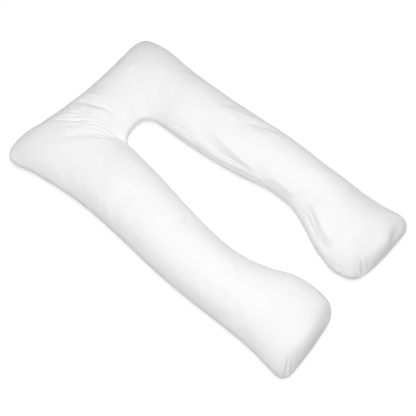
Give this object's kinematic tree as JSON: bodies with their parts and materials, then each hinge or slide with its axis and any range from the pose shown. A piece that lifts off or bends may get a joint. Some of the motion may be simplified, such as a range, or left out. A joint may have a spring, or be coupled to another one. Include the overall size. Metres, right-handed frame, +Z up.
{
  "type": "pregnancy pillow",
  "caption": "Long U-shaped stuffed body pillow with a straight head end, two long arms that narrow and then flare into feet, and creases fanning from its inner bend.",
  "frame": {"origin": "centre of the pillow's outline, on the surface that it lies on", "axes": "+Y towards the closed head end, -Y towards the open feet, +X towards the right arm, +Z up through the crown"},
  "size_m": [0.8786, 1.5418, 0.1689],
  "materials": {
    "cover": "plain-woven white cotton, soft and matt"
  },
  "bodies": {
    "root": {"pillow": "cover"}
  },
  "joints": []
}
